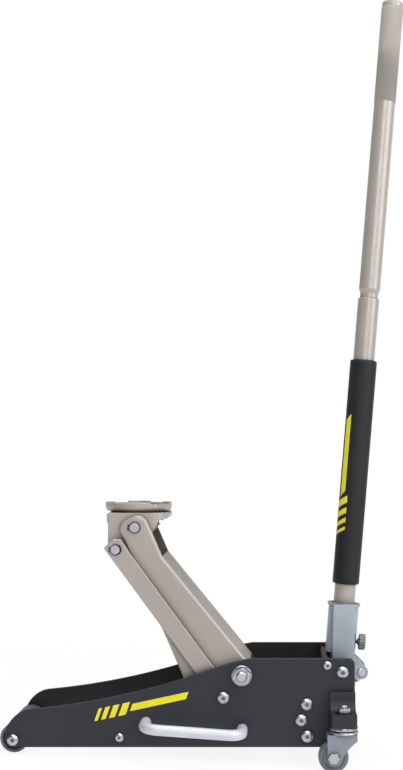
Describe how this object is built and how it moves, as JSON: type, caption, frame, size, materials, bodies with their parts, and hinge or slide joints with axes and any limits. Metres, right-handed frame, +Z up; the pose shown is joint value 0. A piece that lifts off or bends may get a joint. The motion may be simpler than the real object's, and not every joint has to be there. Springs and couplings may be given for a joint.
{
  "type": "hydraulic floor jack",
  "caption": "Low trolley jack: a parallel-link lift arm with a turning saddle, raised by a ram that is pumped with a long removable handle.",
  "frame": {"origin": "bottom centre of the whole jack's box, on the floor", "axes": "+X from the front roller to the handle, +Y to the right seen from the handle, +Z up"},
  "size_m": [0.5728, 0.288, 1.1787],
  "materials": {
    "plate_paint": "satin charcoal powder coat",
    "champagne_paint": "metallic champagne lacquer",
    "grey_casting": "cool grey satin coat",
    "block_paint": "painted casting",
    "zinc": "bright zinc plate",
    "dark_steel": "blackened steel",
    "tie_steel": "brown-grey plated steel",
    "brushed_bar": "brushed",
    "bright_steel": "ground steel",
    "bronze": "plain bearing bronze",
    "spring_steel": "oiled spring wire",
    "foam_rubber": "closed-cell foam",
    "seal_rubber": "matt",
    "cap_plastic": "matt",
    "wheel_grey": "grey coated steel wheel"
  },
  "bodies": {
    "chassis": {"side_plate_left": "plate_paint", "side_plate_right": "plate_paint", "tie_tubes": "tie_steel", "tie_tube_rings": "dark_steel", "tie_bolts": "zinc", "arm_axle": "bright_steel", "axle_nuts": "zinc", "link_pivot_bolts": "zinc", "pivot_spacers": "dark_steel", "socket_pivot_bolts": "zinc", "pump_block": "block_paint", "block_bolts": "zinc", "ram_cylinder": "bright_steel", "gland_nut": "dark_steel", "ram_seal": "seal_rubber", "filler_plug": "seal_rubber", "relief_valve_screw": "zinc", "front_axle": "bright_steel", "front_axle_screws": "zinc", "carry_handle_left": "brushed_bar", "carry_handle_right": "brushed_bar", "carry_handle_screws": "zinc", "caster_bracket_left": "plate_paint", "caster_bracket_right": "plate_paint", "caster_races": "zinc", "caster_kingpins": "zinc", "caster_nuts": "zinc", "return_springs": "spring_steel", "pump_springs": "spring_steel"},
    "front_roller": {"front_roller": "grey_casting"},
    "caster_left": {"caster_fork_left": "grey_casting", "caster_axle_left": "zinc"},
    "caster_right": {"caster_fork_right": "grey_casting", "caster_axle_right": "zinc"},
    "wheel_left": {"caster_wheel_left": "wheel_grey"},
    "wheel_right": {"caster_wheel_right": "wheel_grey"},
    "arm": {"lift_arm": "champagne_paint", "arm_bushes": "bronze", "arm_pins": "bright_steel", "arm_circlips": "dark_steel"},
    "push_roller": {"push_roller": "bright_steel"},
    "links": {"link_bar_left": "champagne_paint", "link_bar_right": "champagne_paint", "link_head_pin": "bright_steel"},
    "saddle_bracket": {"saddle_bracket": "champagne_paint", "saddle_set_screw": "zinc"},
    "saddle": {"saddle": "champagne_paint"},
    "ram": {"ram_rod": "bright_steel", "ram_crosshead": "block_paint"},
    "socket": {"handle_socket": "grey_casting", "pump_roller_pin": "bright_steel"},
    "pump_roller": {"pump_roller": "bright_steel"},
    "thumb_screw": {"thumb_screw": "dark_steel"},
    "handle": {"lower_handle_tube": "champagne_paint", "upper_handle_tube": "champagne_paint", "handle_sleeve": "foam_rubber", "handle_cap": "cap_plastic", "drive_fork": "bright_steel"},
    "plungers": {"pump_plungers": "bright_steel"},
    "release_spindle": {"release_spindle": "bright_steel"}
  },
  "joints": [
    {"name": "front_roller_spin", "type": "hinge", "parent": "chassis", "child": "front_roller", "pos_m": [-0.26493, 0, 0.0215], "axis": [0, 1, 0], "continuous": true},
    {"name": "lift_arm", "type": "hinge", "parent": "chassis", "child": "arm", "pos_m": [0.07426, 0, 0.13034], "axis": [0, -1, 0], "range_deg": [0, 65.5]},
    {"name": "push_roller_spin", "type": "hinge", "parent": "arm", "child": "push_roller", "pos_m": [0.02008, 0, 0.08923], "axis": [0, 1, 0], "continuous": true},
    {"name": "link_swing", "type": "hinge", "parent": "chassis", "child": "links", "pos_m": [0.04794, 0, 0.09631], "axis": [0, -1, 0], "range_deg": [-0.5, 66]},
    {"name": "bracket_tilt", "type": "hinge", "parent": "arm", "child": "saddle_bracket", "pos_m": [-0.09687, 0, 0.34486], "axis": [0, -1, 0], "range_deg": [-66, 0.5]},
    {"name": "saddle_spin", "type": "hinge", "parent": "saddle_bracket", "child": "saddle", "pos_m": [-0.0977, 0, 0.36664], "axis": [-0.0382, 0, 0.9993], "continuous": true},
    {"name": "ram_slide", "type": "slide", "parent": "chassis", "child": "ram", "axis": [0.9993, 0, 0.0382], "range_m": [-0.0005, 0.06859], "deforming": ["return_springs"]},
    {"name": "handle_pump", "type": "hinge", "parent": "chassis", "child": "socket", "pos_m": [0.22515, 0, 0.14131], "axis": [0, 1, 0], "range_deg": [0, 45]},
    {"name": "pump_roller_spin", "type": "hinge", "parent": "socket", "child": "pump_roller", "pos_m": [0.258, 0, 0.13256], "axis": [0, 1, 0], "continuous": true},
    {"name": "plunger_slide", "type": "slide", "parent": "chassis", "child": "plungers", "axis": [-0.6076, 0, -0.7943], "range_m": [-0.0005, 0.02652], "deforming": ["pump_springs"]},
    {"name": "thumb_screw_out", "type": "slide", "parent": "socket", "child": "thumb_screw", "axis": [0.9991, 0, -0.0431], "range_m": [0, 0.006]},
    {"name": "handle_twist", "type": "hinge", "parent": "socket", "child": "handle", "pos_m": [0.22515, 0, 0.14131], "axis": [0.0431, 0, 0.9991], "range_deg": [0, 180]},
    {"name": "release_turn", "type": "hinge", "parent": "chassis", "child": "release_spindle", "pos_m": [0.22515, 0, 0.14131], "axis": [0.0431, 0, 0.9991], "range_deg": [-1, 181]},
    {"name": "caster_swivel_left", "type": "hinge", "parent": "chassis", "child": "caster_left", "pos_m": [0.22819, -0.116, 0.06687], "axis": [-0.0382, 0, 0.9993], "continuous": true},
    {"name": "caster_wheel_spin_left", "type": "hinge", "parent": "caster_left", "child": "wheel_left", "pos_m": [0.21409, -0.116, 0.0222], "axis": [0, 1, 0], "continuous": true},
    {"name": "caster_swivel_right", "type": "hinge", "parent": "chassis", "child": "caster_right", "pos_m": [0.22819, 0.116, 0.06687], "axis": [-0.0382, 0, 0.9993], "continuous": true},
    {"name": "caster_wheel_spin_right", "type": "hinge", "parent": "caster_right", "child": "wheel_right", "pos_m": [0.21409, 0.116, 0.0222], "axis": [0, 1, 0], "continuous": true}
  ],
  "couplings": [
    {"joint": "link_swing", "follows": "lift_arm", "ratio": 1},
    {"joint": "bracket_tilt", "follows": "lift_arm", "ratio": -1},
    {"joint": "ram_slide", "follows": "lift_arm", "m_per_rad": 0.059565},
    {"joint": "plunger_slide", "follows": "handle_pump", "m_per_rad": 0.033136},
    {"joint": "release_turn", "follows": "handle_twist", "ratio": 1}
  ]
}
